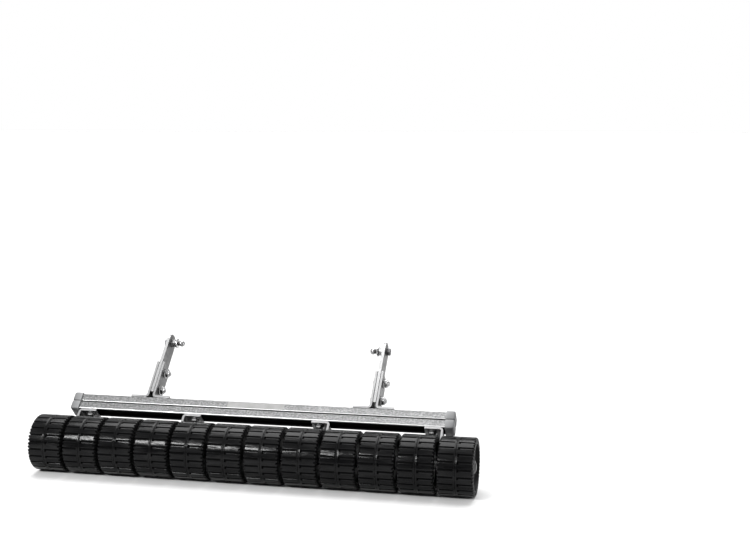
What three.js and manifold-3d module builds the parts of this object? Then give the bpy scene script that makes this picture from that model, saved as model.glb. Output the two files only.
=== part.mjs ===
// Lawn roller attachment: twelve grooved rollers that turn freely on one axle, and the bolted frame
// that carries them: four hangers, an aluminium beam and two masts that take the machine's link pins.
// Millimetres, +Z up, the axle along X, the front face towards -Y, the rollers standing on Z = 0.
import * as THREE from "three";
import { mergeVertices } from "three/addons/utils/BufferGeometryUtils.js";
import Module from "manifold-3d";

const wasm = await Module();
wasm.setup();

// Rollers: one every three inches, twelve of them under a 36 inch deck.
const ROLLER_COUNT = 12;
const PITCH = 76.2;
const ROLLER_GAP = 6.8;
const ROLLER_WIDTH = PITCH - ROLLER_GAP;
const ROLLER_RADIUS = 57.15;
const SHOULDER = 5.6;
const GROOVES = 24;
const GROOVE_DEPTH = 2.6;
const GROOVE_SHARE = 0.3;
const BAND_WIDTH = 8;
const BAND_RADIUS = 56.95;
const RIM_WALL = 6.2;
const DISH_RADIUS = 45;
const DISH_DEPTH = 8;
const WEB_THICKNESS = 5;
const HUB_RADIUS = 14;
const HUB_INSET = 5;

// Running gear
const AXLE_RADIUS = 8;
const AXLE_BORE = 8.8;
const AXLE_HOLE = 8.4;
const SEAT_GAP = 0.3;
const SPACER_RADIUS = 12.5;
const AXLE_STUB = 1.8;
const CAP_WALL = 2.2;

// Frame: flat bar stock, measured up from the axle along the frame.
const LEAN = THREE.MathUtils.degToRad(46);
const STRAP = 38.1;
const PLATE = 4.8;
const BEND_RADIUS = 8;
const FOOT_LENGTH = 38.1;
const BEAM_BOTTOM = 74;
const BEAM_HEIGHT = 35;
const BEAM_DEPTH = 28;
const BEAM_LENGTH = 802;
const BEAM_TOP = BEAM_BOTTOM + BEAM_HEIGHT;
const BEAM_WALL = 3;
const BEAM_GROOVE = 2;
const BEAM_CENTRE_Y = (BEAM_DEPTH - STRAP) / 2;
const CAP_LENGTH = 18;
const CAP_PROUD = 2.5;

// Masts
const MAST_X = 237;
const BAR_THICKNESS = 6.35;
const BAR_START = BEAM_TOP + 15;
const PIN_HEIGHT = BEAM_TOP + 151;
const WEB_HEIGHT = 90;
const THROUGH_BOLT_HEIGHTS = [BEAM_TOP + 30, BEAM_TOP + 72];
const SIDE_GAP = 0.6;

// Fasteners: three eighths of an inch, with clearance holes.
const SHANK_RADIUS = 4.6;
const BOLT_HOLE = 5.1;
const HEX_RADIUS = 8.2;
const HEAD_HEIGHT = 6.2;
const DOME_RADIUS = 9.6;
const DOME_HEIGHT = 4.4;
const DOME_FLAT = 4.4;
const LOCK_HEX = 7;
const LOCK_COLLAR = 3;
const LOCK_NUT_LENGTH = LOCK_HEX + LOCK_COLLAR;
const THREAD_SHOWING = 2;
const FOOT_BOLT_OFFSET = 24;

// Link pins: the machine's link hangs on the shank between the flange nut and the dome nut.
const PIN_HEAD = 8;
const FLANGE_HEX = 11;
const FLANGE_RADIUS = 10.5;
const FLANGE_NUT_LENGTH = 14;
const LINK_GAP = 5;
const DOME_NUT_LENGTH = 9.4;
const DOME_NUT_BORE = 6.4;

const HANGER_SLOTS = [1, 4, 8, 11];

// The rollers stand staggered: each is this many twelfths of a groove pitch further round than the last.
const ROLLER_STAGGER = 5;
const STAGGERS_PER_GROOVE = 12;

const STEEL = { color: 0xa9adb0, roughness: 0.34, metalness: 0.85 };
const BRIGHT = { color: 0xc4c7c9, roughness: 0.28, metalness: 0.9 };
const DARK_STEEL = { color: 0x3a3c3f, roughness: 0.5, metalness: 0.7 };
const ALUMINIUM = { color: 0xb6b8b9, roughness: 0.45, metalness: 0.75 };
const ROLLER_PLASTIC = { color: 0x1a1b1d, roughness: 0.42, metalness: 0 };
const CAP_PLASTIC = { color: 0x8f9193, roughness: 0.55, metalness: 0 };

// A closed manifold solid from any closed three.js geometry.
function toSolid(geometry) {
  const bare = new THREE.BufferGeometry();
  bare.setAttribute("position", geometry.getAttribute("position"));
  bare.setIndex(geometry.index);
  const merged = mergeVertices(bare, 1e-3);
  const corners = merged.index.array;
  const triangles = [];
  for (let i = 0; i < corners.length; i += 3) {
    const [a, b, c] = [corners[i], corners[i + 1], corners[i + 2]];
    if (a !== b && b !== c && c !== a) triangles.push(a, b, c);
  }
  const mesh = new wasm.Mesh({
    numProp: 3,
    vertProperties: Float32Array.from(merged.getAttribute("position").array),
    triVerts: Uint32Array.from(triangles),
  });
  return new wasm.Manifold(mesh);
}

function toGeometry(solid) {
  const mesh = solid.getMesh();
  const geometry = new THREE.BufferGeometry();
  geometry.setAttribute("position", new THREE.BufferAttribute(mesh.vertProperties, mesh.numProp));
  geometry.setIndex(new THREE.BufferAttribute(mesh.triVerts, 1));
  geometry.computeVertexNormals();
  return geometry;
}

function points(pairs) {
  return pairs.map(([x, y]) => new THREE.Vector2(x, y));
}

// A solid turned about X, from [radius, x] pairs that start and end on the axis or close on themselves.
function turned(pairs, segments) {
  return toSolid(new THREE.LatheGeometry(points(pairs), segments).rotateZ(-Math.PI / 2));
}

// A plain rod along X from one place to another; six segments make a hexagon.
function rod(radius, from, to, segments = 12) {
  return turned([[0, from], [radius, from], [radius, to], [0, to]], segments);
}

// A plate whose outline is drawn in X and Z, centred on Y = 0.
function frontPlate(shape, depth) {
  const plate = new THREE.ExtrudeGeometry(shape, { depth, bevelEnabled: false, curveSegments: 4 });
  return toSolid(plate.rotateX(Math.PI / 2).translate(0, depth / 2, 0));
}

// A plate whose outline is drawn in Y and Z, centred on X = 0.
function sidePlate(shape, width, curveSegments = 5) {
  const plate = new THREE.ExtrudeGeometry(shape, { depth: width, bevelEnabled: false, curveSegments });
  const axes = [new THREE.Vector3(0, 1, 0), new THREE.Vector3(0, 0, 1), new THREE.Vector3(1, 0, 0)];
  return toSolid(plate.applyMatrix4(new THREE.Matrix4().makeBasis(...axes)).translate(-width / 2, 0, 0));
}

function uprightHole(x, y, from, to) {
  return rod(BOLT_HOLE, from, to).rotate([0, -90, 0]).translate([x, y, 0]);
}

function rectangle(y0, z0, y1, z1) {
  return new THREE.Shape(points([[y0, z0], [y1, z0], [y1, z1], [y0, z1]]));
}

// The outside of a roller: a turned drum whose rings dip at every groove, and a plain band round its
// middle that fills the grooves there, with one corner in each groove.
function groovedDrum() {
  const half = ROLLER_WIDTH / 2;
  const profile = points([
    [0, -half],
    [ROLLER_RADIUS - SHOULDER, -half],
    [ROLLER_RADIUS, SHOULDER - half],
    [ROLLER_RADIUS, half - SHOULDER],
    [ROLLER_RADIUS - SHOULDER, half],
    [0, half],
  ]);
  const drum = new THREE.LatheGeometry(profile, GROOVES * 3);
  const place = drum.getAttribute("position");
  const tooth = (2 * Math.PI) / GROOVES;
  const lip = [0, GROOVE_SHARE / 2, 1 - GROOVE_SHARE / 2];
  for (let i = 0; i < place.count; i += 1) {
    const radius = Math.hypot(place.getX(i), place.getZ(i));
    if (radius < 1) continue;
    const step = Math.floor(i / profile.length) % (GROOVES * 3);
    const angle = (Math.floor(step / 3) + lip[step % 3]) * tooth;
    const reach = step % 3 === 0 ? radius - GROOVE_DEPTH : radius;
    place.setXYZ(i, reach * Math.sin(angle), place.getY(i), reach * Math.cos(angle));
  }
  const band = rod(BAND_RADIUS, -BAND_WIDTH / 2, BAND_WIDTH / 2, GROOVES);
  return toSolid(drum.rotateZ(-Math.PI / 2)).add(band);
}

// The inside of a roller: a dish in each side face around a hub, and a cavity that opens to the bore.
function rollerGeometry() {
  const half = ROLLER_WIDTH / 2;
  const web = half - DISH_DEPTH;
  const cavity = web - WEB_THICKNESS;
  const bore = rod(AXLE_BORE, -half - 1, half + 1);
  const hollow = rod(ROLLER_RADIUS - RIM_WALL, -cavity, cavity);
  const hubEnd = half - HUB_INSET;
  const hubStep = [[0, hubEnd], [HUB_RADIUS, hubEnd], [HUB_RADIUS, web]];
  const dish = turned([...hubStep, [DISH_RADIUS, web], [DISH_RADIUS, half + 1], [0, half + 1]], 18);
  const dishes = dish.add(dish.mirror([1, 0, 0]));
  return toGeometry(groovedDrum().subtract(bore.add(hollow)).subtract(dishes));
}

// An L of bent plate with its outer corner at the origin, the foot along +X and the web up Z.
function bentPlate(webHeight) {
  const inner = BEND_RADIUS - PLATE;
  const shape = new THREE.Shape();
  shape.moveTo(0, webHeight);
  shape.lineTo(0, BEND_RADIUS);
  shape.absarc(BEND_RADIUS, BEND_RADIUS, BEND_RADIUS, Math.PI, 1.5 * Math.PI, false);
  shape.lineTo(FOOT_LENGTH, 0);
  shape.lineTo(FOOT_LENGTH, PLATE);
  shape.lineTo(BEND_RADIUS, PLATE);
  shape.absarc(BEND_RADIUS, BEND_RADIUS, inner, 1.5 * Math.PI, Math.PI, true);
  shape.lineTo(PLATE, webHeight);
  return frontPlate(shape, STRAP);
}

// A flat strip with one fully rounded end at the given height; the strip runs down from there.
function roundEndedStrip(from, roundCentre) {
  const half = STRAP / 2;
  const shape = new THREE.Shape();
  shape.moveTo(-half, from);
  shape.lineTo(half, from);
  shape.lineTo(half, roundCentre);
  shape.absarc(0, roundCentre, half, 0, Math.PI, false);
  return shape;
}

// A hanger: the foot bolts under the beam and the web drops to the axle, with a rounded lower end.
function hangerGeometry(side) {
  const drop = BEAM_BOTTOM - SEAT_GAP;
  const outline = sidePlate(roundEndedStrip(-1, drop), 3 * FOOT_LENGTH);
  const axleHole = rod(AXLE_HOLE, -1, PLATE + 1, 16).translate([0, 0, drop]);
  const boltHole = uprightHole(FOOT_BOLT_OFFSET, -side * BEAM_CENTRE_Y, -1, PLATE + 1);
  const plate = bentPlate(drop + STRAP / 2).intersect(outline);
  return toGeometry(plate.subtract(axleHole).subtract(boltHole).rotate([180, 0, 0]));
}

function mastBracketGeometry(side) {
  const holes = THROUGH_BOLT_HEIGHTS.map((height) =>
    rod(BOLT_HOLE, -1, PLATE + 1).translate([0, 0, height - BEAM_TOP - SEAT_GAP]));
  holes.push(uprightHole(FOOT_BOLT_OFFSET, side * BEAM_CENTRE_Y, -1, PLATE + 1));
  return toGeometry(holes.reduce((plate, hole) => plate.subtract(hole), bentPlate(WEB_HEIGHT)));
}

function mastBarGeometry() {
  const bar = sidePlate(roundEndedStrip(BAR_START, PIN_HEIGHT), BAR_THICKNESS);
  const holes = [...THROUGH_BOLT_HEIGHTS, PIN_HEIGHT].map((height) =>
    rod(BOLT_HOLE, -BAR_THICKNESS, BAR_THICKNESS).translate([0, 0, height]));
  return toGeometry(holes.reduce((plate, hole) => plate.subtract(hole), bar));
}

// The beam's section: two bands on each long face, divided by a groove, and two hollow chambers.
function beamSection() {
  const back = BEAM_DEPTH / 2;
  const middle = BEAM_HEIGHT / 2;
  const lip = BEAM_GROOVE;
  const rightSide = [
    [back - lip, 0],
    [back, lip],
    [back, middle - lip / 2],
    [back - lip, middle - lip / 2],
    [back - lip, middle + lip / 2],
    [back, middle + lip],
    [back, BEAM_HEIGHT - lip / 2],
    [back - lip / 2, BEAM_HEIGHT],
  ];
  const leftSide = rightSide.map(([y, z]) => [-y, z]).reverse();
  const outline = new THREE.Shape(points([...rightSide, ...leftSide]));
  const wall = BEAM_WALL + BEAM_GROOVE;
  const chambers = [[BEAM_WALL, middle - BEAM_WALL / 2], [middle + BEAM_WALL / 2, BEAM_HEIGHT - BEAM_WALL]];
  for (const [low, high] of chambers) {
    outline.holes.push(rectangle(wall - back, low, back - wall, high));
  }
  return outline;
}

function hangerPlaces() {
  return HANGER_SLOTS.map((slot) => {
    const x = (slot - ROLLER_COUNT / 2) * PITCH;
    return { x, side: x < 0 ? 1 : -1 };
  });
}

function beamGeometry() {
  const beam = sidePlate(beamSection(), BEAM_LENGTH);
  const holes = hangerPlaces().map(({ x, side }) =>
    uprightHole(x + side * (FOOT_BOLT_OFFSET - PLATE / 2), 0, -1, BEAM_WALL + 1));
  for (const mast of [-MAST_X, MAST_X]) {
    for (const side of [-1, 1]) {
      const offset = side * (BAR_THICKNESS / 2 + SIDE_GAP + FOOT_BOLT_OFFSET);
      holes.push(uprightHole(mast + offset, 0, BEAM_HEIGHT - BEAM_WALL - 1, BEAM_HEIGHT + 1));
    }
  }
  return toGeometry(holes.reduce((body, hole) => body.subtract(hole), beam));
}

// A moulded cap that slips over the end of the beam, with the beam's groove line repeated on it.
function endCapGeometry() {
  const half = BEAM_DEPTH / 2 + CAP_PROUD;
  const low = -CAP_PROUD;
  const high = BEAM_HEIGHT + CAP_PROUD;
  const middle = BEAM_HEIGHT / 2;
  const round = CAP_PROUD + 1;
  const shape = new THREE.Shape();
  shape.moveTo(-half, middle - 1);
  shape.lineTo(-half, low + round);
  shape.absarc(round - half, low + round, round, Math.PI, 1.5 * Math.PI, false);
  shape.absarc(half - round, low + round, round, 1.5 * Math.PI, 2 * Math.PI, false);
  shape.lineTo(half, high - 1);
  shape.lineTo(half - 1, high);
  shape.lineTo(1 - half, high);
  shape.lineTo(-half, high - 1);
  shape.lineTo(-half, middle + 1);
  shape.lineTo(1 - half, middle);
  const block = sidePlate(shape, CAP_LENGTH, 4);
  const play = BEAM_DEPTH / 2 + SEAT_GAP;
  const pocket = sidePlate(rectangle(-play, -SEAT_GAP, play, BEAM_HEIGHT + SEAT_GAP), CAP_LENGTH);
  return toGeometry(block.subtract(pocket.translate([-CAP_WALL, 0, 0])));
}

// The shank of a bolt through one plate and the beam's wall, with its nut inside the beam.
function beamShank() {
  const nutStart = PLATE + 2 * SEAT_GAP + BEAM_WALL + SEAT_GAP;
  const shank = rod(SHANK_RADIUS, -1, nutStart + HEAD_HEIGHT + THREAD_SHOWING);
  return shank.add(rod(HEX_RADIUS - 1, nutStart, nutStart + HEAD_HEIGHT, 6));
}

// A bolt that runs up from its hex head, through a hanger, into the beam.
function hangerBoltGeometry() {
  return toGeometry(rod(HEX_RADIUS, -HEAD_HEIGHT, 0, 6).add(beamShank()).rotate([0, -90, 0]));
}

function domeHead() {
  const shoulder = [0.82 * DOME_RADIUS, -0.7 * DOME_HEIGHT];
  const skirt = [[DOME_RADIUS, -0.2 * DOME_HEIGHT], [DOME_RADIUS, 0]];
  return turned([[0, -DOME_HEIGHT], [DOME_FLAT, -DOME_HEIGHT], shoulder, ...skirt, [0, 0]], 12);
}

// A low dome bolt that runs down through a mast foot into the beam.
function footBoltGeometry() {
  return toGeometry(domeHead().add(beamShank()).rotate([0, 90, 0]));
}

function throughBoltGeometry(grip) {
  return toGeometry(domeHead().add(rod(SHANK_RADIUS, -1, grip + LOCK_NUT_LENGTH + THREAD_SHOWING)));
}

// A lock nut: hex below, round collar above, with a clearance bore for the bolt.
function lockNutGeometry() {
  const top = LOCK_NUT_LENGTH;
  const hex = rod(HEX_RADIUS, 0, LOCK_HEX, 6);
  const radius = HEX_RADIUS - 1.4;
  const rim = [[radius, LOCK_HEX - 1], [radius, top - 1.4], [radius - 1, top]];
  const collar = turned([[0, LOCK_HEX - 1], ...rim, [0, top]], 12);
  return toGeometry(hex.add(collar).subtract(rod(BOLT_HOLE, -1, top + 1)));
}

// The link pin: hex head outside the bar, plain shank, and room for the machine's link before its end.
function topPinGeometry() {
  const seat = BAR_THICKNESS / 2 + SEAT_GAP;
  const head = rod(HEX_RADIUS, -seat - PIN_HEAD, -seat, 6);
  const shankEnd = seat + FLANGE_NUT_LENGTH + LINK_GAP + DOME_NUT_BORE - 1;
  return toGeometry(head.add(rod(SHANK_RADIUS, -seat - 1, shankEnd)));
}

function flangeNutGeometry() {
  const start = FLANGE_HEX - 0.5;
  const end = FLANGE_NUT_LENGTH;
  const rim = [[FLANGE_RADIUS, start], [FLANGE_RADIUS, end - 2], [HEX_RADIUS, end]];
  const nut = rod(HEX_RADIUS, 0, FLANGE_HEX, 6).add(turned([[0, start], ...rim, [0, end]], 16));
  return toGeometry(nut.subtract(rod(BOLT_HOLE, -1, end + 1)));
}

function domeNutGeometry() {
  const radius = HEX_RADIUS - 0.8;
  const length = DOME_NUT_LENGTH;
  const crown = [[0.9 * radius, 0.7 * length], [0.57 * radius, 0.92 * length], [0, length]];
  const profile = [[0, 0], [radius, 0], [radius, 0.4 * length], ...crown];
  return toGeometry(turned(profile, 12).subtract(rod(BOLT_HOLE, -1, DOME_NUT_BORE)));
}

function tubeGeometry(outer, length) {
  return toGeometry(rod(outer, -length / 2, length / 2, 16).subtract(rod(AXLE_HOLE, -length, length, 16)));
}

// A push-on cap over the end of the axle, inside the dish of the outermost roller.
function retainerGeometry() {
  const cap = rod(SPACER_RADIUS, -AXLE_STUB, CAP_WALL, 16);
  return toGeometry(cap.subtract(rod(AXLE_HOLE, -AXLE_STUB - 1, 0, 16)));
}

function addPart(parent, name, geometry, finish) {
  const mesh = new THREE.Mesh(geometry, new THREE.MeshStandardMaterial(finish));
  mesh.name = name;
  parent.add(mesh);
  return mesh;
}

function number(index) {
  return String(index).padStart(2, "0");
}

function addRollers(machine) {
  const geometry = rollerGeometry();
  const step = (2 * Math.PI) / GROOVES / STAGGERS_PER_GROOVE;
  for (let i = 0; i < ROLLER_COUNT; i += 1) {
    const roller = addPart(machine, `roller_${number(i + 1)}`, geometry.clone(), ROLLER_PLASTIC);
    roller.position.x = (i + 0.5 - ROLLER_COUNT / 2) * PITCH;
    roller.rotation.x = -((i * ROLLER_STAGGER) % STAGGERS_PER_GROOVE) * step;
  }
}

function addAxle(frame) {
  const lastHub = (ROLLER_COUNT / 2) * PITCH - ROLLER_GAP / 2 - HUB_INSET;
  const axleEnd = lastHub + AXLE_STUB;
  addPart(frame, "axle", toGeometry(rod(AXLE_RADIUS, -axleEnd, axleEnd, 16)), STEEL);
  for (const [name, side] of [["axle_retainer_left", -1], ["axle_retainer_right", 1]]) {
    const retainer = addPart(frame, name, retainerGeometry(), DARK_STEEL);
    retainer.position.x = side * (axleEnd + SEAT_GAP);
    retainer.rotation.z = side < 0 ? Math.PI : 0;
  }
  const spacerLength = ROLLER_GAP + 2 * (HUB_INSET - SEAT_GAP);
  let count = 0;
  for (let slot = 1; slot < ROLLER_COUNT; slot += 1) {
    if (HANGER_SLOTS.includes(slot)) continue;
    count += 1;
    const tube = tubeGeometry(SPACER_RADIUS, spacerLength);
    const spacer = addPart(frame, `axle_spacer_${count}`, tube, DARK_STEEL);
    spacer.position.x = (slot - ROLLER_COUNT / 2) * PITCH;
  }
}

function addHangers(frame) {
  hangerPlaces().forEach(({ x, side }, index) => {
    const hanger = addPart(frame, `hanger_${index + 1}`, hangerGeometry(side), STEEL);
    hanger.position.set(x - (side * PLATE) / 2, 0, BEAM_BOTTOM - SEAT_GAP);
    hanger.rotation.z = side < 0 ? Math.PI : 0;
    const bolt = addPart(frame, `hanger_bolt_${index + 1}`, hangerBoltGeometry(), BRIGHT);
    const boltX = x + side * (FOOT_BOLT_OFFSET - PLATE / 2);
    bolt.position.set(boltX, BEAM_CENTRE_Y, BEAM_BOTTOM - 2 * SEAT_GAP - PLATE);
  });
}

function addBeam(frame) {
  const beam = addPart(frame, "beam", beamGeometry(), ALUMINIUM);
  beam.position.set(0, BEAM_CENTRE_Y, BEAM_BOTTOM);
  for (const [name, side] of [["end_cap_left", -1], ["end_cap_right", 1]]) {
    const cap = addPart(frame, name, endCapGeometry(), CAP_PLASTIC);
    const inner = BEAM_LENGTH / 2 + SEAT_GAP + CAP_WALL - CAP_LENGTH / 2;
    cap.position.set(side * inner, BEAM_CENTRE_Y, BEAM_BOTTOM);
    cap.rotation.z = side < 0 ? Math.PI : 0;
  }
}

function addMast(frame, name, x, inward) {
  const face = BAR_THICKNESS / 2 + SIDE_GAP;
  addPart(frame, `mast_bar_${name}`, mastBarGeometry(), STEEL).position.x = x;
  for (const [which, side] of [["a", -1], ["b", 1]]) {
    const bracket = addPart(frame, `mast_bracket_${name}_${which}`, mastBracketGeometry(side), STEEL);
    bracket.position.set(x + side * face, 0, BEAM_TOP + SEAT_GAP);
    bracket.rotation.z = side < 0 ? Math.PI : 0;
    const footBolt = addPart(frame, `foot_bolt_${name}_${which}`, footBoltGeometry(), BRIGHT);
    const top = BEAM_TOP + 2 * SEAT_GAP + PLATE;
    footBolt.position.set(x + side * (face + FOOT_BOLT_OFFSET), BEAM_CENTRE_Y, top);
  }
  const seat = face + PLATE + SEAT_GAP;
  THROUGH_BOLT_HEIGHTS.forEach((height, index) => {
    const bolt = addPart(frame, `mast_bolt_${name}_${index + 1}`, throughBoltGeometry(2 * seat), BRIGHT);
    bolt.position.set(x - seat, 0, height);
    const nut = addPart(frame, `lock_nut_${name}_${index + 1}`, lockNutGeometry(), BRIGHT);
    nut.position.set(x + seat, 0, height);
  });
  addTopPin(frame, name, x, inward);
}

function addTopPin(frame, name, x, inward) {
  const turn = inward < 0 ? Math.PI : 0;
  const seat = BAR_THICKNESS / 2 + SEAT_GAP;
  const pieces = [
    ["top_pin", topPinGeometry(), DARK_STEEL, 0],
    ["flange_nut", flangeNutGeometry(), BRIGHT, seat],
    ["dome_nut", domeNutGeometry(), BRIGHT, seat + FLANGE_NUT_LENGTH + LINK_GAP],
  ];
  for (const [kind, geometry, finish, offset] of pieces) {
    const piece = addPart(frame, `${kind}_${name}`, geometry, finish);
    piece.position.set(x + inward * offset, 0, PIN_HEIGHT);
    piece.rotation.z = turn;
  }
}

const machine = new THREE.Group();
const frame = new THREE.Group();
frame.rotation.x = -LEAN;
machine.add(frame);
addRollers(machine);
addAxle(frame);
addHangers(frame);
addBeam(frame);
addMast(frame, "left", -MAST_X, 1);
addMast(frame, "right", MAST_X, -1);

// Stand the rollers on Z = 0 and centre the footprint on the origin.
const box = new THREE.Box3().setFromObject(machine, true);
machine.position.y = -(box.min.y + box.max.y) / 2;
machine.position.z = -box.min.z;

export default machine;
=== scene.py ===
"""Looks for the lawn roller attachment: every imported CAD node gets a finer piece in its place.

Pieces are drawn in millimetres in the leaning frame's own axes: X along the axle, Z up the masts and
-Y out of the beam's front face, with the origin on the axle. STAND then puts them in the row's frame.
"""
import math

import bmesh
import bpy
from mathutils import Matrix, Vector


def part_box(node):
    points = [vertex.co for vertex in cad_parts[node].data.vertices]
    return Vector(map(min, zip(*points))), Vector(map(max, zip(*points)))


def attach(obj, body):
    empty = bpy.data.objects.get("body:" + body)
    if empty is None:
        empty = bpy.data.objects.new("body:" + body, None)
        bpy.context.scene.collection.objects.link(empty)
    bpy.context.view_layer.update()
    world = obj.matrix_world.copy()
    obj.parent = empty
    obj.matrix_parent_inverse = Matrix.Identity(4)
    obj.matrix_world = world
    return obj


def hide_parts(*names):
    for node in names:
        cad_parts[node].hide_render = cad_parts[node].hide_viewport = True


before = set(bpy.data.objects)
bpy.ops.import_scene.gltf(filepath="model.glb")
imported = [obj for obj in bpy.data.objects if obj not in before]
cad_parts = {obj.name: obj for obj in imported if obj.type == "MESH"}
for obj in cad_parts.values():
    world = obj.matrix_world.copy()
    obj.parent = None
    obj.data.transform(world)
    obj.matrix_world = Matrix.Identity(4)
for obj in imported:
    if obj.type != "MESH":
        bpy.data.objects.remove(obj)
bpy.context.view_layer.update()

# Sizes of stock and fasteners, in millimetres
PLATE = 4.8
BEND_RADIUS = 8.0
SHANK = 4.76
HEX_FLATS = 14.3
NUT_FLATS = 16.0
BEAM_GROOVE = 2.2
BEAM_GROOVE_DEPTH = 3.4
BEAM_LIP = 2.6
BEAM_CHANNEL = 4.0
THREAD_PITCH = 1.27
BEAM_FACE_INSET = 0.35
STRIP_BEVEL = 0.5
HANGER_HEAD = 6.2
DOME_RADIUS = 9.6
DOME_HEIGHT = 4.4
PIN_HEAD = 8.0
NUT_BORE = 4.9
ACORN_RADIUS = 6.6
HANGER_COUNT = 4
SPACER_COUNT = 7

# The blank label on the beam's upper band, in millimetres
LABEL_LENGTH = 120.0
LABEL_HEIGHT = 13.2
LABEL_THICKNESS = 0.25
LABEL_CORNER = 1.5
LABEL_LEFT = -66
LABEL_ABOVE_MIDDLE = 2.6

# Rollers, in millimetres; each stands ROLLER_STAGGER twelfths of a tooth further round than the last
ROLLER_RADIUS = 57.1
ROLLER_COUNT = 12
ROLLER_STAGGER = 5
STAGGERS_PER_GROOVE = 12
GROOVES = 24
GROOVE_DEPTH = 2.8
POCKET_DEPTH = 3.4
NOTCH_DEPTH = 2.0
RECESS_FROM = 1.2
LAND_FLATNESS = 0.6
SHOULDER = 3.4
BAND_MIDDLE = -0.4
BAND_HALF = 3.7
DISH_RADIUS = 45.0
DISH_DEPTH = 8.0
HUB_RADIUS = 14.0
HUB_INSET = 5.0
BORE = 8.4

# Camera: the photograph's viewpoint, with no lens shift
CAMERA_AT = (0.727, -2.296, 0.714)
CAMERA_YAW = math.radians(12.0)
CAMERA_DIP = math.radians(7.1)
CAMERA_LENS = 57.5

# The room's brightness: dim in front of the rollers, bright overhead and behind
ROOM_BRIGHT_SIDE = (0.0, 0.45, 0.89)
ROOM_DIM = 0.14
ROOM_BRIGHT = 0.85

# Floor and lights: a broad light from above and a little behind, a strip in front, a panel to the right
FLOOR_SIZE = 160
FLOOR_TONE = 0.58
OVERHEAD_FROM = (-0.05, 0.35, 1.0)
OVERHEAD_STRENGTH = 4.0
OVERHEAD_SPREAD = 50
KEY_AT = (-1.2, -2.25, 1.79)
KEY_TARGET = (-0.1, 0, 0.08)
KEY_SIZE = (1.1, 0.3)
KEY_POWER = 100
SIDE_AT = (2.9, -0.9, 1.0)
SIDE_TARGET = (0, 0, 0.08)
SIDE_SIZE = (1.0, 1.0)
SIDE_POWER = 40


# ---------------------------------------------------------------- places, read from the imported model

def middle(node):
    low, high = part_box(node)
    return (low + high) / 2


AXLE = middle("axle")
PIN = middle("top_pin_left")
LEAN = math.atan2(PIN.y - AXLE.y, PIN.z - AXLE.z)
STAND = Matrix.Translation(AXLE) @ Matrix.Rotation(-LEAN, 4, "X") @ Matrix.Scale(0.001, 4)


def span(node):
    """Lowest and highest corner of a frame node in the frame's own axes, in millimetres."""
    back = STAND.inverted()
    corners = [back @ vertex.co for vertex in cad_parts[node].data.vertices]
    low = Vector([min(c[i] for c in corners) for i in range(3)])
    high = Vector([max(c[i] for c in corners) for i in range(3)])
    return low, high


# ---------------------------------------------------------------- materials

def new_material(name, color, roughness, metallic=0.0, specular=0.5):
    material = bpy.data.materials.new(name)
    material.use_nodes = True
    shader = material.node_tree.nodes["Principled BSDF"]
    shader.inputs["Base Color"].default_value = (*color, 1)
    shader.inputs["Roughness"].default_value = roughness
    shader.inputs["Metallic"].default_value = metallic
    shader.inputs["Specular IOR Level"].default_value = specular
    return material


class Nodes:
    """Short hands for one material's node tree."""

    def __init__(self, material):
        self.tree = material.node_tree
        self.shader = self.tree.nodes["Principled BSDF"]
        self.coordinates = self.tree.nodes.new("ShaderNodeTexCoord").outputs["Object"]

    def link(self, source, target):
        self.tree.links.new(source, target)

    def stretched(self, scale):
        mapping = self.tree.nodes.new("ShaderNodeMapping")
        mapping.inputs["Scale"].default_value = scale
        self.link(self.coordinates, mapping.inputs["Vector"])
        return mapping.outputs["Vector"]

    def noise(self, scale, detail=3.0, stretch=None, distortion=0.0):
        noise = self.tree.nodes.new("ShaderNodeTexNoise")
        noise.inputs["Scale"].default_value = scale
        noise.inputs["Detail"].default_value = detail
        noise.inputs["Distortion"].default_value = distortion
        self.link(self.stretched(stretch) if stretch else self.coordinates, noise.inputs["Vector"])
        return noise.outputs["Fac"]

    def ramp(self, source, stops):
        ramp = self.tree.nodes.new("ShaderNodeValToRGB").color_ramp
        ramp.elements[0].position, ramp.elements[1].position = stops[0][0], stops[-1][0]
        for position, _ in stops[1:-1]:
            ramp.elements.new(position)
        for element, (_, color) in zip(ramp.elements, stops):
            element.color = (*color, 1) if isinstance(color, tuple) else (color, color, color, 1)
        node = [n for n in self.tree.nodes if getattr(n, "color_ramp", None) == ramp][0]
        self.link(source, node.inputs["Fac"])
        return node.outputs["Color"]

    def spread(self, source, low, high, start=0.3, end=0.7):
        """A value that runs from low to high as the source goes from start to end."""
        remap = self.tree.nodes.new("ShaderNodeMapRange")
        for key, value in (("From Min", start), ("From Max", end), ("To Min", low), ("To Max", high)):
            remap.inputs[key].default_value = value
        self.link(source, remap.inputs["Value"])
        return remap.outputs["Result"]

    def mix(self, factor, first, second, mode="MIX"):
        mix = self.tree.nodes.new("ShaderNodeMix")
        mix.data_type = "RGBA"
        mix.blend_type = mode
        self.feed(factor, mix.inputs["Factor"])
        self.feed(first, mix.inputs[6])
        self.feed(second, mix.inputs[7])
        return mix.outputs[2]

    def feed(self, value, socket):
        if isinstance(value, bpy.types.NodeSocket):
            self.link(value, socket)
        elif isinstance(value, tuple):
            socket.default_value = (*value, 1)
        else:
            socket.default_value = value

    def bump(self, source, distance, strength=1.0, under=None):
        """Bumps the surface; a bump under it is kept."""
        bump = self.tree.nodes.new("ShaderNodeBump")
        bump.inputs["Distance"].default_value = distance
        bump.inputs["Strength"].default_value = strength
        self.link(source, bump.inputs["Height"])
        if under:
            self.link(under, bump.inputs["Normal"])
        self.link(bump.outputs["Normal"], self.shader.inputs["Normal"])
        return bump.outputs["Normal"]

    def edges(self, low=0.52, high=0.6):
        """1 on convex edges, 0 elsewhere."""
        geometry = self.tree.nodes.new("ShaderNodeNewGeometry")
        return self.spread(geometry.outputs["Pointiness"], 0.0, 1.0, low, high)


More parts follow.
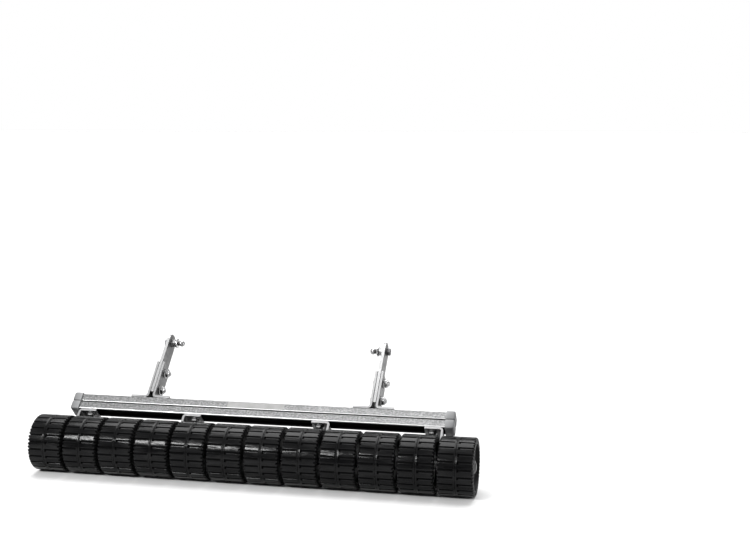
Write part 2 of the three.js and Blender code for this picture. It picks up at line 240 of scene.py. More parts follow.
def roller_material():
    """Satin black moulding: soft grain, dust, and scuffs that run along the lands."""
    material = new_material("black_moulding", (0.004, 0.0041, 0.0045), 0.28, specular=0.1)
    n = Nodes(material)
    scuffs = n.noise(75, 5, stretch=(0.22, 1.0, 1.0), distortion=0.5)
    drift = n.noise(24, 4)
    dusty = n.mix(n.spread(scuffs, 0, 1, 0.5, 0.8), (0.002, 0.002, 0.0022), (0.009, 0.009, 0.0092))
    # Convex edges turn lighter: partly wear, partly a painted highlight along the groove lips and rib crests.
    wear_and_sheen = n.mix(n.edges(), dusty, (0.016, 0.016, 0.0164))
    n.link(wear_and_sheen, n.shader.inputs["Base Color"])
    rough = n.mix(0.5, n.spread(drift, 0.13, 0.19), n.spread(scuffs, 0.1, 0.25))
    n.link(rough, n.shader.inputs["Roughness"])
    waves = n.bump(n.noise(48, 3, stretch=(0.5, 1.0, 1.0)), 0.0007, 0.5)
    streaks = n.bump(n.noise(240, 4, stretch=(0.35, 1.0, 1.0)), 0.00045, 0.5, waves)
    n.bump(n.noise(1500, 2), 0.0001, 0.35, streaks)
    return material


def dull_material(name, dark, light, roughness, specular):
    """Black moulding with little shine, grained and uneven; laid in grooves, pockets and channels, its dark
    tone is painted shade.
    """
    material = new_material(name, (dark, dark, dark), roughness, specular=specular)
    n = Nodes(material)
    tone = n.mix(n.spread(n.noise(300, 3), 0, 1), (dark, dark, dark * 1.1), (light, light, light * 1.03))
    n.link(tone, n.shader.inputs["Base Color"])
    n.link(n.spread(n.noise(180, 3), roughness - 0.1, roughness + 0.1), n.shader.inputs["Roughness"])
    n.bump(n.noise(900, 2), 0.0001, 0.4)
    return material


def aluminium_material():
    """Mill-finish extrusion: mottled all over, with faint drawing lines along it."""
    material = new_material("mottled_aluminium", (0.3, 0.303, 0.306), 0.45, metallic=1.0)
    n = Nodes(material)
    mottle = n.noise(430, 4, stretch=(0.75, 1.0, 1.0), distortion=0.4)
    lines = n.noise(900, 2, stretch=(0.012, 1.0, 1.0))
    tone = n.ramp(mottle, [
        (0.36, (0.052, 0.0525, 0.053)),
        (0.5, (0.108, 0.109, 0.11)),
        (0.64, (0.21, 0.212, 0.214)),
    ])
    n.link(n.mix(0.25, tone, n.ramp(lines, [(0.3, 0.1), (0.7, 0.2)])), n.shader.inputs["Base Color"])
    n.link(n.spread(mottle, 0.52, 0.38), n.shader.inputs["Roughness"])
    n.bump(mottle, 0.00025, 0.4)
    return material


def zinc_material(name, light, dark, roughness, edge=0.7):
    """Zinc plating: soft spangle in colour and gloss, scuffed brighter along its edges."""
    material = new_material(name, (light, light, light * 1.01), roughness, metallic=1.0)
    n = Nodes(material)
    spangle = n.noise(95, 4, distortion=0.8)
    fine = n.noise(520, 3)
    tone = n.mix(n.spread(spangle, 0, 1, 0.35, 0.68), (dark, dark, dark * 1.02), (light, light, light * 1.01))
    flecked = n.mix(n.spread(fine, 0.0, 0.35, 0.45, 0.7), tone, (light * 1.3, light * 1.3, light * 1.3))
    n.link(n.mix(n.edges(0.52, 0.6), flecked, (edge, edge, edge)), n.shader.inputs["Base Color"])
    n.link(n.spread(spangle, roughness + 0.08, roughness - 0.06), n.shader.inputs["Roughness"])
    n.bump(n.noise(1200, 2, stretch=(1.0, 1.0, 0.3)), 0.00008, 0.4)
    return material


def dark_steel_material():
    """Black oxide: nearly black, slightly browned, with scuffed corners."""
    material = new_material("black_oxide", (0.02, 0.02, 0.022), 0.4, metallic=0.6)
    n = Nodes(material)
    tone = n.mix(n.spread(n.noise(240, 4), 0, 1), (0.012, 0.012, 0.013), (0.035, 0.033, 0.032))
    n.link(n.mix(n.edges(0.53, 0.62), tone, (0.22, 0.22, 0.23)), n.shader.inputs["Base Color"])
    n.link(n.spread(n.noise(400, 3), 0.32, 0.5), n.shader.inputs["Roughness"])
    n.bump(n.noise(1800, 2), 0.00006, 0.4)
    return material


def cap_material():
    """Smooth grey moulding with a very fine eggshell texture."""
    material = new_material("grey_moulding", (0.2, 0.203, 0.206), 0.5, specular=0.35)
    n = Nodes(material)
    tone = n.mix(n.spread(n.noise(60, 3), 0, 1), (0.06, 0.0612, 0.0625), (0.08, 0.0815, 0.083))
    n.link(n.mix(n.edges(0.53, 0.62), tone, (0.19, 0.192, 0.195)), n.shader.inputs["Base Color"])
    n.link(n.spread(n.noise(90, 2), 0.42, 0.56), n.shader.inputs["Roughness"])
    n.bump(n.noise(2200, 2), 0.00008, 0.35)
    return material


def label_material():
    """A blank satin label, slightly greyed."""
    material = new_material("blank_label", (0.6, 0.6, 0.59), 0.35, specular=0.4)
    n = Nodes(material)
    tone = n.mix(n.spread(n.noise(70, 4), 0, 1, 0.35, 0.75), (0.24, 0.24, 0.237), (0.2, 0.2, 0.197))
    n.link(tone, n.shader.inputs["Base Color"])
    n.link(n.spread(n.noise(160, 3), 0.28, 0.45), n.shader.inputs["Roughness"])
    return material


# ---------------------------------------------------------------- mesh tools

def mesh_from(name, corners, faces):
    """A closed mesh whose faces all look outwards, whichever way round they were listed."""
    mesh = bpy.data.meshes.new(name)
    mesh.from_pydata(corners, [], faces)
    mesh.validate()
    shape = bmesh.new()
    shape.from_mesh(mesh)
    bmesh.ops.recalc_face_normals(shape, faces=shape.faces)
    shape.to_mesh(mesh)
    shape.free()
    return mesh


def add_piece(name, mesh, look, body, nodes, place=Matrix.Identity(4), bevel=0.0, sharp=32):
    """Puts a mesh in the scene in the leaning frame, with rounded edges, riding on its body."""
    *materials, slot_name = look
    mesh.transform(STAND @ place)
    mesh.update()
    return seat_piece(name, mesh, materials, body, nodes, bevel, sharp)


def seat_piece(name, mesh, materials, body, nodes, bevel, sharp):
    for material in materials:
        mesh.materials.append(material)
    mesh.shade_smooth()
    mesh.set_sharp_from_angle(angle=math.radians(sharp))
    piece = bpy.data.objects.new(name, mesh)
    bpy.context.scene.collection.objects.link(piece)
    if bevel:
        rounding = piece.modifiers.new("edges", "BEVEL")
        rounding.width = bevel / 1000
        rounding.segments = 3
        rounding.limit_method = "ANGLE"
        rounding.angle_limit = math.radians(sharp)
        rounding.harden_normals = True
    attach(piece, body)
    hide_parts(*nodes)
    return piece


def ring_faces(rings, columns, closed):
    """Quads between neighbouring rings; a closed stack joins its last ring to its first."""
    faces = []
    for ring in range(rings if closed else rings - 1):
        a, b = ring * columns, (ring + 1) % rings * columns
        for i in range(columns):
            j = (i + 1) % columns
            faces.append((a + i, a + j, b + j, b + i))
    return faces


def hex_reach(angle, flats):
    """Distance from the middle of a hexagon to its edge, at an angle."""
    sixth = math.pi / 3
    return flats / 2 / math.cos((angle + sixth / 2) % sixth - sixth / 2)


def turned(name, profile, columns=48, closed=False):
    """A solid round X from (x, radius) rings; (x, flats, rim, lean) is a hexagon's chamfered ring.

    At such a ring the corners that reach past the rim's radius draw back along X, towards lean.
    """
    corners = []
    for ring in profile:
        for i in range(columns):
            angle = 2 * math.pi * i / columns
            x, radius = ring[0], ring[1]
            if len(ring) == 4:
                _, flats, rim, lean = ring
                radius = hex_reach(angle, flats)
                x += lean * max(0.0, radius - rim) * math.tan(math.radians(30))
            corners.append((x, radius * math.cos(angle), radius * math.sin(angle)))
    faces = ring_faces(len(profile), columns, closed)
    if not closed:
        faces.append(tuple(reversed(range(columns))))
        faces.append(tuple(range((len(profile) - 1) * columns, len(profile) * columns)))
    return mesh_from(name, corners, faces)


def hexagon(start, end, flats=HEX_FLATS):
    """The rings of a hexagon with both ends chamfered to a round face."""
    rim = flats * 0.475
    return [(start, rim), (start, flats, rim, 1), (end, flats, rim, -1), (end, rim)]


def thread(start, end, radius=SHANK):
    """The rings of a threaded end with a small chamfer."""
    rings = []
    x = start
    while x < end - THREAD_PITCH:
        rings += [(x, radius - 0.45), (x + THREAD_PITCH / 2, radius)]
        x += THREAD_PITCH
    return rings + [(x, radius - 0.3), (end - 0.5, radius - 0.3), (end, radius - 1.0)]


def slab(name, outline, start, end):
    """A solid along X whose section is an outline in Y and Z."""
    count = len(outline)
    corners = [(x, y, z) for x in (start, end) for y, z in outline]
    faces = [(i, (i + 1) % count, count + (i + 1) % count, count + i) for i in range(count)]
    faces += [tuple(reversed(range(count))), tuple(range(count, 2 * count))]
    return mesh_from(name, corners, faces)


def arc(centre, radius, start, end, steps):
    """Points on an arc, angles in degrees."""
    points = []
    for i in range(steps + 1):
        angle = math.radians(start + (end - start) * i / steps)
        points.append((centre[0] + radius * math.cos(angle), centre[1] + radius * math.sin(angle)))
    return points


def strip(name, stations, thickness):
    """A flat bar that follows (x, z, direction in degrees, width) stations, its width along Y."""
    corners = []
    for x, z, direction, width in stations:
        angle = math.radians(direction + 90)
        out = (math.cos(angle) * thickness / 2, math.sin(angle) * thickness / 2)
        for side, half in ((1, -width / 2), (1, width / 2), (-1, width / 2), (-1, -width / 2)):
            corners.append((x + side * out[0], half, z + side * out[1]))
    faces = ring_faces(len(stations), 4, False)
    last = (len(stations) - 1) * 4
    faces += [(3, 2, 1, 0), (last, last + 1, last + 2, last + 3)]
    mesh = mesh_from(name, corners, faces)
    # The narrow cut faces take the second material, a lighter copy of the steel that is a painted highlight.
    for number, face in enumerate(mesh.polygons):
        face.material_index = 1 if number % 2 == 1 and number < last else 0
    return mesh


def round_end(x, z, direction, width, steps=15):
    """Stations that close a strip with half a circle; x and z are the circle's centre."""
    stations = []
    angle = math.radians(direction)
    for i in range(steps // 2 + 1):
        turn = math.radians(180 / steps * i)
        reach = math.sin(turn) * width / 2
        along = (x + reach * math.cos(angle), z + reach * math.sin(angle))
        stations.append((*along, direction, width * math.cos(turn)))
    return stations


def bent_strip(name, foot, rise, width, rounded):
    """An L with its outer corner at the origin: the foot comes in along X and the web goes up Z."""
    centre_radius = BEND_RADIUS - PLATE / 2
    stations = [(foot, PLATE / 2, 180, width)]
    bend = arc((BEND_RADIUS, BEND_RADIUS), centre_radius, 270, 180, 10)
    for i, (x, z) in enumerate(bend):
        stations.append((x, z, 180 - 9 * i, width))
    if rounded:
        stations += round_end(PLATE / 2, rise - width / 2, 90, width)
    else:
        stations.append((PLATE / 2, rise, 90, width))
    return strip(name, stations, PLATE)


def facing(side):
    """Turns a piece drawn towards +X round to face the other way."""
    return Matrix.Rotation(math.pi if side < 0 else 0, 4, "Z")


# ---------------------------------------------------------------- rollers

def tread_columns():
    """Across one tooth: arc from the groove's middle, then the groove's, pocket's and notch's share there."""
    return [
        (-7.48, 0, 0, 1), (-6.3, 0, 0, 1), (-5.6, 0, 0, 0), (-4.4, 0, 0, 0), (-3.8, 0, 1, 0), (-2.5, 0, 1, 0),
        (-2.1, 0.04, 1, 0), (-1.75, 0.25, 1, 0), (-1.35, 1, 1, 0), (1.35, 1, 1, 0), (1.75, 0.25, 0.25, 0),
        (2.1, 0.04, 0, 0), (3.4, 0, 0, 0), (5.6, 0, 0, 0), (6.3, 0, 0, 1),
    ]


def shoulder_rings(half):
    """(x, drop, groove, pocket, notch, angle towards the side) over the rounded shoulder, inwards."""
    rings = []
    for i in range(7):
        turn = math.radians(15 * i)
        x = half - SHOULDER + SHOULDER * math.cos(turn)
        rings.append((x, SHOULDER * (1 - math.sin(turn)), 1, 0, 1 if i < 6 else 0, math.pi / 2 - turn))
    return rings


def band_rings():
    """The plain band's rings: two low ribs with a fine line between them."""
    across = [(3.4, 0.1), (2.9, 0.3), (2.3, 0.3), (1.9, 0), (1.0, 0), (0.5, 0.25), (0, 1.0)]
    left = [(BAND_MIDDLE - t, drop, 0, 0, 0, 0) for t, drop in across]
    right = [(BAND_MIDDLE + t, drop, 0, 0, 0, 0) for t, drop in reversed(across[:-1])]
    return left + right


def tread_rings(half):
    """Every ring across the tread, left to right."""
    edge = BAND_HALF
    left_end = [(BAND_MIDDLE - edge - 0.5, 0, 1, 0, 0, 0), (BAND_MIDDLE - edge, 0, 0, 0, 0, 0)]
    right_end = [
        (BAND_MIDDLE + edge, 0, 0, 0, 0, 0), (BAND_MIDDLE + edge + 0.4, 0, 1, 1, 0, 0),
        (BAND_MIDDLE + edge + 3.0, 0, 1, 1, 0, 0), (BAND_MIDDLE + edge + 4.0, 0, 1, 0, 0, 0),
    ]
    shoulder = shoulder_rings(half)
    left = [(-x, *rest, -facing_side) for x, *rest, facing_side in shoulder]
    return left + left_end + band_rings() + right_end + list(reversed(shoulder))


def side_rings(half):
    """(x, radius) down one side of a roller: rim, dish, web, hub and bore."""
    web = half - DISH_DEPTH
    hub = half - HUB_INSET
    return [
        (half, DISH_RADIUS + 2.2), (half, DISH_RADIUS + 0.8), (half - 0.8, DISH_RADIUS),
        (web + 1.2, DISH_RADIUS - 0.6), (web, DISH_RADIUS - 2), (web, HUB_RADIUS + 2.4),
        (web + 0.8, HUB_RADIUS + 0.4), (hub - 0.6, HUB_RADIUS), (hub, HUB_RADIUS - 0.6), (hub, BORE),
    ]


def roller_mesh(width):
    """One grooved roller about X, in millimetres, drawn as rings from bore to bore."""
    half = width / 2
    tooth = 2 * math.pi / GROOVES
    columns = [(n * tooth, *column) for n in range(GROOVES) for column in tread_columns()]
    sides = [(x, ROLLER_RADIUS - radius, 0, 0, 0, 0) for x, radius in side_rings(half)]
    rings = [(-x, *rest) for x, *rest in reversed(sides)] + tread_rings(half) + sides
    corners, depths = [], []
    for x, drop, groove, pocket, notch, facing_side in rings:
        for start, across, groove_here, pocket_here, notch_here in columns:
            angle = start + across / ROLLER_RADIUS
            depth = max(
                groove * groove_here * GROOVE_DEPTH, pocket * pocket_here * POCKET_DEPTH,
                notch * notch_here * NOTCH_DEPTH,
            )
            depths.append(depth)
            reach = ROLLER_RADIUS - drop - depth * math.cos(facing_side)
            if drop <= SHOULDER:
                reach -= land_drop(across)
            cut_x = x - depth * math.sin(facing_side)
            corners.append((cut_x, -reach * math.cos(angle), reach * math.sin(angle)))
    mesh = mesh_from("roller_mesh", corners, ring_faces(len(rings), len(columns), True))
    # Faces deeper than RECESS_FROM take the dark lining, painted shade in the grooves, pockets and notches;
    # the sides take the dull dish moulding.
    for face in mesh.polygons:
        deep = max(depths[i] for i in face.vertices) > RECESS_FROM
        on_side = math.hypot(face.center.y, face.center.z) < ROLLER_RADIUS - SHOULDER - 0.5
        face.material_index = 2 if on_side else 1 if deep else 0
    return mesh


def land_drop(across):
    """How far a nearly flat land lies inside the round tread; its middle is half a tooth from the groove."""
    edge = math.pi / GROOVES - 2.1 / ROLLER_RADIUS
    off_middle = min(math.pi / GROOVES - abs(across) / ROLLER_RADIUS, edge)
    return LAND_FLATNESS * ROLLER_RADIUS * (1 - math.cos(edge) / math.cos(off_middle))


def make_rollers(look):
    *materials, slot_name = look
    low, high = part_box("roller_06")
    mesh = roller_mesh((high.x - low.x) * 1000)
    mesh.transform(Matrix.Scale(0.001, 4))
    for number in range(1, ROLLER_COUNT + 1):
        node = f"roller_{number:02d}"
        share = (number - 1) * ROLLER_STAGGER % STAGGERS_PER_GROOVE / STAGGERS_PER_GROOVE
        turn = share * 2 * math.pi / GROOVES
        own = mesh.copy()
        place = Vector((middle(node).x, AXLE.y, AXLE.z))
        own.transform(Matrix.Translation(place) @ Matrix.Rotation(-turn, 4, "X"))
        seat_piece(f"grooved_roller_{number:02d}", own, materials, node, [node], 0.0, 32)


# ---------------------------------------------------------------- frame

def make_running_gear(steel, dark):
    low, high = span("axle")
    radius = (high.y - low.y) / 2
    rod = [(low.x, radius - 1), (low.x + 1, radius), (high.x - 1, radius), (high.x, radius - 1)]
    add_piece("axle_rod", turned("axle_rod", rod), steel, "frame", ["axle"])
    for name, side in (("left", -1), ("right", 1)):
        node = f"axle_retainer_{name}"
        low, high = span(node)
        rim = (high.y - low.y) / 2
        depth = high.x - low.x
        cap = [(0, rim - 0.4), (0.4, rim), (1.4, rim), (2.0, rim - 1), (2.3, 9.6)]
        cap += [(depth - 0.5, 8.4), (depth, 6.8), (depth, 1)]
        place = Matrix.Translation((low.x if side > 0 else high.x, 0, 0)) @ facing(side)
        add_piece(f"push_cap_{name}", turned("push_cap", cap), dark, "frame", [node], place)
    for number in range(1, SPACER_COUNT + 1):
        node = f"axle_spacer_{number}"
        low, high = span(node)
        rim = (high.y - low.y) / 2
        tube = [(low.x, radius + 0.4), (low.x, rim - 0.5), (low.x + 0.5, rim), (high.x - 0.5, rim)]
        tube += [(high.x, rim - 0.5), (high.x, radius + 0.4)]
        add_piece(f"spacer_tube_{number}", turned("spacer", tube, closed=True), dark, "frame", [node])


def make_hangers(steel, bright):
    for number in range(1, HANGER_COUNT + 1):
        node = f"hanger_{number}"
        low, high = span(node)
        side = 1 if high.x < 0 else -1
        width = high.y - low.y
        mesh = bent_strip("hanger", high.x - low.x, high.z - low.z, width, True)
        corner = Matrix.Translation((low.x if side > 0 else high.x, 0, high.z))
        place = corner @ facing(side) @ Matrix.Rotation(math.pi, 4, "X")
        add_piece(f"hanger_strip_{number}", mesh, steel, "frame", [node], place, bevel=STRIP_BEVEL)
        make_hanger_bolt(number, bright)


def make_hanger_bolt(number, bright):
    node = f"hanger_bolt_{number}"
    low, high = span(node)
    head = HANGER_HEAD
    profile = [(-head, 5.6)] + hexagon(-head, -1.4)[1:] + [(-1.4, 9.8), (-1.0, 10.3), (0, 10.3)]
    profile += [(0, SHANK)] + thread(high.z - low.z - head - 9, high.z - low.z - head)
    place = Matrix.Translation(((low.x + high.x) / 2, (low.y + high.y) / 2, low.z + head))
    place = place @ Matrix.Rotation(-math.pi / 2, 4, "Y")
    add_piece(f"hanger_fastener_{number}", turned("hanger_bolt", profile), bright, "frame", [node], place)


def beam_side(depth, height, lip):
    """One long face from the bottom up: two bands with rolled lower lips and a deep groove between."""
    middle_height = height / 2
    face = depth - BEAM_FACE_INSET
    points = arc((depth - lip, lip), lip, -90, 0, 6)
    points += [(face, lip + 1.4), (face, middle_height - BEAM_GROOVE / 2 - 0.9)]
    points += arc((face - 0.9, middle_height - BEAM_GROOVE / 2 - 0.9), 0.9, 20, 90, 3)
    points += [(depth - BEAM_GROOVE_DEPTH, middle_height - BEAM_GROOVE / 2)]
    points += [(depth - BEAM_GROOVE_DEPTH, middle_height + BEAM_GROOVE / 2)]
    points += arc((depth - 1.3, middle_height + BEAM_GROOVE / 2 + 1.3), 1.3, -90, 0, 4)
    points += [(face, middle_height + BEAM_GROOVE / 2 + 2.4), (face, height - 1.0)]
    return points + arc((face - 1.0, height - 1.0), 1.0, 20, 90, 3)


def beam_outline(low, high):
    """The beam's section; its front is at -Y, and its rear has tighter lips."""
    depth = (high.y - low.y) / 2
    height = high.z - low.z
    front = [(-y, z) for y, z in reversed(beam_side(depth, height, 2.2))]
    front_lip, rear_lip = depth - BEAM_LIP, depth - 0.9
    channel = [(-front_lip, 0), (-front_lip, BEAM_CHANNEL), (rear_lip, BEAM_CHANNEL), (rear_lip, 0)]
    return beam_side(depth, height, 0.3) + front + channel


def make_beam(aluminium, caps, label):
    low, high = span("beam")
    y = (low.y + high.y) / 2
    place = Matrix.Translation((0, y, low.z))
    outline = beam_outline(low, high)
    mesh = slab("beam", outline, low.x, high.x)
    inside = (high.y - low.y) / 2 - BEAM_GROOVE_DEPTH - 0.01
    groove_top = (high.z - low.z + BEAM_GROOVE) / 2
    for number, (y, z) in enumerate(outline):
        next_y, next_z = outline[(number + 1) % len(outline)]
        # Channel and groove faces take the dark lining: painted shade under the beam and in its groove.
        channel = z > 0 and next_z == BEAM_CHANNEL or z == BEAM_CHANNEL
        grooved = abs(abs(y) - inside) < 0.02 or abs(abs(next_y) - inside) < 0.02
        # The front's bottom lip and the lip above the groove take a lighter zinc copy: painted highlight.
        lip_highlight_faces = y < 0 and next_y < 0 and (max(z, next_z) < 2.5 or 0 < z - groove_top < 1.4) and z > 0
        mesh.polygons[number].material_index = 1 if channel or grooved else 2 if lip_highlight_faces else 0
    add_piece("beam_extrusion", mesh, aluminium, "frame", ["beam"], place, sharp=40)
    for name, side in (("left", -1), ("right", 1)):
        make_end_cap(name, side, caps)
    make_label(low, high, label)


def cap_corner(outward, depth, inset):
    """Half of an end cap's outline at one height: from its inner face round one outer corner."""
    corner = 3.0
    reach = depth - inset
    end = outward - inset
    return [(0, reach)] + arc((end - corner, reach - corner), corner, 90, 0, 6)


def make_end_cap(name, side, look):
    """A moulded cap with two bulged bands and a waist between them that runs round its end."""
    node = f"end_cap_{name}"
    low, high = span(node)
    depth = (high.y - low.y) / 2
    height = high.z - low.z
    half = height / 2
    levels = [(0, 3.2), (0.5, 1.7), (1.5, 0.6), (3.2, 0), (half - 3, 0), (half - 1.2, 0.5), (half, 2.0)]
    levels += [(height - z, inset) for z, inset in reversed(levels[:-1])]
    corners = []
    for z, inset in levels:
        near = cap_corner(high.x - low.x, depth, inset)
        corners += [(x, y, z) for x, y in near] + [(x, -y, z) for x, y in reversed(near)]
    columns = len(corners) // len(levels)
    faces = ring_faces(len(levels), columns, False)
    faces += [tuple(range(columns)), tuple(reversed(range(len(corners) - columns, len(corners))))]
    mesh = mesh_from("end_cap", corners, faces)
    place = Matrix.Translation((low.x if side > 0 else high.x, (low.y + high.y) / 2, low.z)) @ facing(side)
    add_piece(f"end_moulding_{name}", mesh, look, "frame", [node], place, sharp=50)


def make_label(low, high, look):
    """A blank label on the beam's upper band."""
    face = low.y + BEAM_FACE_INSET
    base = low.z + (high.z - low.z) / 2 + LABEL_ABOVE_MIDDLE
    length, height, corner = LABEL_LENGTH, LABEL_HEIGHT, LABEL_CORNER
    outline = []
    for cx, cz, start in ((length - corner, corner, -90), (length - corner, height - corner, 0),
                          (corner, height - corner, 90), (corner, corner, 180)):
        outline += arc((cx, cz), corner, start, start + 90, 5)
    count = len(outline)
    corners = [(x, y, z) for y in (-LABEL_THICKNESS, 0.1) for x, z in outline]
    faces = [(i, (i + 1) % count, count + (i + 1) % count, count + i) for i in range(count)]
    faces += [tuple(reversed(range(count))), tuple(range(count, 2 * count))]
    mesh = mesh_from("label", corners, faces)
    place = Matrix.Translation((LABEL_LEFT, face, base))
    add_piece("blank_label", mesh, look, "frame", [], place)


def dome_head(radius, height):
    """The rings of a low round head whose seat is at x = 0 and whose crown is at -height."""
    rings = [(-height, 0.6)]
    for i in range(1, 7):
        turn = math.radians(15 * i)
        rings.append((-height + (height - 0.8) * (1 - math.cos(turn)), radius * math.sin(turn)))
    return rings + [(0, radius)]


def make_masts(steel, bright, dark):
    for name, inward in (("left", 1), ("right", -1)):
        make_bar(name, steel)
        for which, side in (("a", -1), ("b", 1)):
            make_bracket(name, which, side, steel)
            make_foot_bolt(name, which, bright)
        for number in (1, 2):
            make_through_bolt(name, number, bright)
        make_top_pin(name, inward, bright, dark)


def make_bar(name, look):
    node = f"mast_bar_{name}"
    low, high = span(node)
    width = high.y - low.y - 0.5
    x = (low.x + high.x) / 2
    stations = [(0, low.z, 90, width)] + round_end(0, high.z - width / 2 - 0.2, 90, width)
    mesh = strip("mast_bar", stations, high.x - low.x)
    place = Matrix.Translation((x, 0, 0))
    add_piece(f"mast_strap_{name}", mesh, look, "frame", [node], place, bevel=STRIP_BEVEL)


def make_bracket(name, which, side, look):
    node = f"mast_bracket_{name}_{which}"
    low, high = span(node)
    mesh = bent_strip("mast_bracket", high.x - low.x, high.z - low.z, high.y - low.y, False)
    place = Matrix.Translation((low.x if side > 0 else high.x, 0, low.z)) @ facing(side)
    add_piece(f"mast_angle_{name}_{which}", mesh, look, "frame", [node], place, bevel=STRIP_BEVEL)


def make_foot_bolt(name, which, look):
    node = f"foot_bolt_{name}_{which}"
    low, high = span(node)
    head = DOME_HEIGHT
    profile = dome_head(DOME_RADIUS, head) + [(0, SHANK)] + thread(8, high.z - low.z - head)
    place = Matrix.Translation(((low.x + high.x) / 2, (low.y + high.y) / 2, high.z - head))
    place = place @ Matrix.Rotation(math.pi / 2, 4, "Y")
    add_piece(f"foot_fastener_{name}_{which}", turned("foot_bolt", profile), look, "frame", [node], place)


def make_through_bolt(name, number, look):
    node = f"mast_bolt_{name}_{number}"
    low, high = span(node)
    head = DOME_HEIGHT
    length = high.x - low.x - head
    profile = dome_head(DOME_RADIUS, head) + [(0, SHANK)] + thread(length - 13, length)
    place = Matrix.Translation((low.x + head, 0, (low.z + high.z) / 2))
    add_piece(f"mast_fastener_{name}_{number}", turned("mast_bolt", profile), look, "frame", [node], place)
    nut = f"lock_nut_{name}_{number}"
    low, high = span(nut)
    height = high.x - low.x
    rings = [(0, 9.4), (0.5, 9.9), (1.4, 9.9), (2.2, 8.6)] + hexagon(2.2, 8.2, NUT_FLATS)[1:]
    rings += [(8.2, 7.0), (height - 0.9, 6.8), (height, 5.8), (height - 0.6, NUT_BORE), (0, NUT_BORE)]
    place = Matrix.Translation((low.x, 0, (low.z + high.z) / 2))
    mesh = turned("lock_nut", rings, closed=True)
    add_piece(f"nylon_nut_{name}_{number}", mesh, look, "frame", [nut], place)


def make_top_pin(name, inward, bright, dark):
    node = f"top_pin_{name}"
    low, high = span(node)
    length = high.x - low.x
    z = (low.z + high.z) / 2
    start = low.x if inward > 0 else high.x
    place = Matrix.Translation((start, 0, z)) @ facing(inward)
    head = PIN_HEAD
    profile = [(0, 5.4)] + hexagon(0, head - 1.2)[1:] + [(head - 1.2, 7.6), (head, 7.6)]
    profile += [(head, SHANK), (length, SHANK)]
    add_piece(f"link_pin_{name}", turned("link_pin", profile), dark, "frame", [node], place)

    node = f"flange_nut_{name}"
    low, high = span(node)
    start = low.x if inward > 0 else high.x
    place = Matrix.Translation((start, 0, z)) @ facing(inward)
    length = high.x - low.x
    rings = hexagon(0, length - 4.4, NUT_FLATS)
    rings += [(length - 4.4, 9.2), (length - 3.4, 10.3), (length - 2.8, 10.5), (length - 1.4, 10.5)]
    rings += [(length - 0.8, 10.0), (length, 8.6), (length, NUT_BORE), (0, NUT_BORE)]
    mesh = turned("flange_nut", rings, closed=True)
    add_piece(f"shoulder_nut_{name}", mesh, bright, "frame", [node], place)

    node = f"dome_nut_{name}"
    low, high = span(node)
    start = low.x if inward > 0 else high.x
    place = Matrix.Translation((start, 0, z)) @ facing(inward)
    length = high.x - low.x
    rings = [(0, 5.6), (0.8, 6.2), (1.8, 6.4)]
    for i in range(8):
        turn = math.radians(12 * i)
        x = length - ACORN_RADIUS + ACORN_RADIUS * math.sin(turn)
        rings.append((x, ACORN_RADIUS * math.cos(turn)))
    add_piece(f"acorn_nut_{name}", turned("dome_nut", rings), bright, "frame", [node], place)


# ---------------------------------------------------------------- stage, light and camera

def make_floor():
    bpy.ops.mesh.primitive_plane_add(size=FLOOR_SIZE)
    floor = bpy.context.object
    floor.name = "floor"
    paint = new_material("floor_paint", (FLOOR_TONE,) * 3, 0.5, specular=0.1)
    floor.data.materials.append(paint)


def aim(thing, target):
    thing.rotation_euler = (Vector(target) - thing.location).to_track_quat("-Z", "Y").to_euler()


def add_softbox(name, at, target, size, power):
    data = bpy.data.lights.new(name, "AREA")
    data.shape = "RECTANGLE"
    data.size, data.size_y = size
    data.energy = power
    light = bpy.data.objects.new(name, data)
    light.location = at
    aim(light, target)
    bpy.context.scene.collection.objects.link(light)


def add_overhead(at, strength, spread):
    """A broad even light from above, which keeps the whole floor the same white."""
    data = bpy.data.lights.new("overhead", "SUN")
    data.energy = strength
    data.angle = math.radians(spread)
    light = bpy.data.objects.new("overhead", data)
    light.location = at
    aim(light, (0, 0, 0))
    bpy.context.scene.collection.objects.link(light)


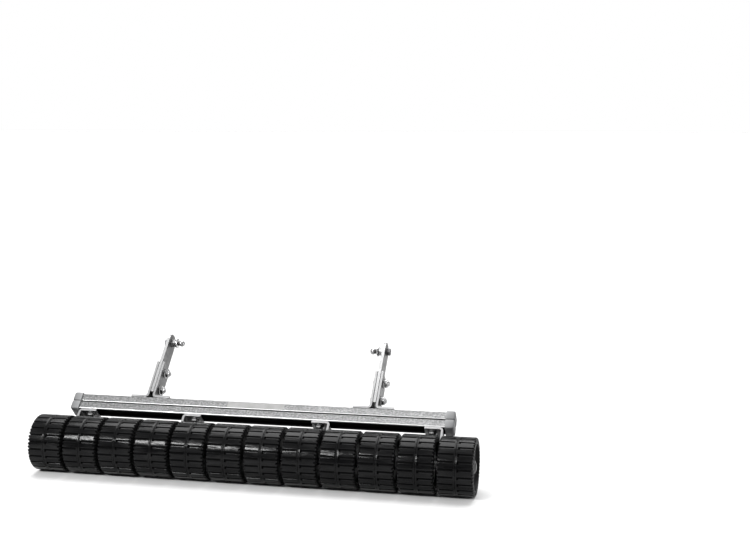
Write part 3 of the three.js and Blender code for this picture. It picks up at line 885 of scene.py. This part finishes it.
def make_world():
    """A white backdrop for the camera; the room's own light is bright overhead and behind."""
    world = bpy.data.worlds.new("studio")
    bpy.context.scene.world = world
    world.use_nodes = True
    tree = world.node_tree
    room = tree.nodes["Background"]
    towards = tree.nodes.new("ShaderNodeVectorMath")
    towards.operation = "DOT_PRODUCT"
    towards.inputs[1].default_value = ROOM_BRIGHT_SIDE
    tree.links.new(tree.nodes.new("ShaderNodeTexCoord").outputs["Generated"], towards.inputs[0])
    glow = tree.nodes.new("ShaderNodeMapRange")
    for key, value in (("From Min", -0.2), ("From Max", 0.85), ("To Min", ROOM_DIM), ("To Max", ROOM_BRIGHT)):
        glow.inputs[key].default_value = value
    tree.links.new(towards.outputs["Value"], glow.inputs["Value"])
    tree.links.new(glow.outputs["Result"], room.inputs["Strength"])
    backdrop = tree.nodes.new("ShaderNodeBackground")
    mix = tree.nodes.new("ShaderNodeMixShader")
    tree.links.new(tree.nodes.new("ShaderNodeLightPath").outputs["Is Camera Ray"], mix.inputs["Fac"])
    tree.links.new(room.outputs["Background"], mix.inputs[1])
    tree.links.new(backdrop.outputs["Background"], mix.inputs[2])
    tree.links.new(mix.outputs["Shader"], tree.nodes["World Output"].inputs["Surface"])
    for background in (room, backdrop):
        background.inputs["Color"].default_value = (1, 1, 1, 1)


def make_camera():
    data = bpy.data.cameras.new("camera")
    data.lens = CAMERA_LENS
    camera = bpy.data.objects.new("camera", data)
    camera.location = CAMERA_AT
    camera.rotation_euler = (math.pi / 2 - CAMERA_DIP, 0, CAMERA_YAW)
    bpy.context.scene.collection.objects.link(camera)
    bpy.context.scene.camera = camera


make_camera()
bpy.context.scene.view_settings.view_transform = "Standard"
# The strips' cut edges take a lighter copy of the plated steel: painted highlight.
EDGE_HIGHLIGHT = zinc_material("steel_edge_highlight", 0.27, 0.21, 0.38, 0.42)
STEEL = (zinc_material("zinc_plate", 0.095, 0.065, 0.4, 0.4), EDGE_HIGHLIGHT, "plated_steel")
BRIGHT = (zinc_material("bright_zinc", 0.34, 0.22, 0.25, 0.7), "bright_fasteners")
DARK = (dark_steel_material(), "dark_steel")
# The recess lining is painted shade: a darker, duller black laid where shade falls in grooves and channels.
RECESS_SHADE = dull_material("painted_shade_recess", 0.002, 0.004, 0.8, 0.03)
DISH = dull_material("dull_dish", 0.003, 0.009, 0.5, 0.12)
make_rollers((roller_material(), RECESS_SHADE, DISH, "roller_plastic"))
make_running_gear(STEEL, DARK)
make_hangers(STEEL, BRIGHT)
# A lighter zinc copy laid on the beam's front lips is a painted highlight.
LIP_HIGHLIGHT = zinc_material("painted_lip_highlight", 0.36, 0.29, 0.4, 0.5)
ALUMINIUM = (aluminium_material(), RECESS_SHADE, LIP_HIGHLIGHT, "aluminium")
make_beam(ALUMINIUM, (cap_material(), "cap_plastic"), (label_material(), "cap_plastic"))
make_masts(STEEL, BRIGHT, DARK)
make_floor()
make_world()
add_overhead(OVERHEAD_FROM, OVERHEAD_STRENGTH, OVERHEAD_SPREAD)
add_softbox("key_softbox", KEY_AT, KEY_TARGET, KEY_SIZE, KEY_POWER)
add_softbox("side_softbox", SIDE_AT, SIDE_TARGET, SIDE_SIZE, SIDE_POWER)
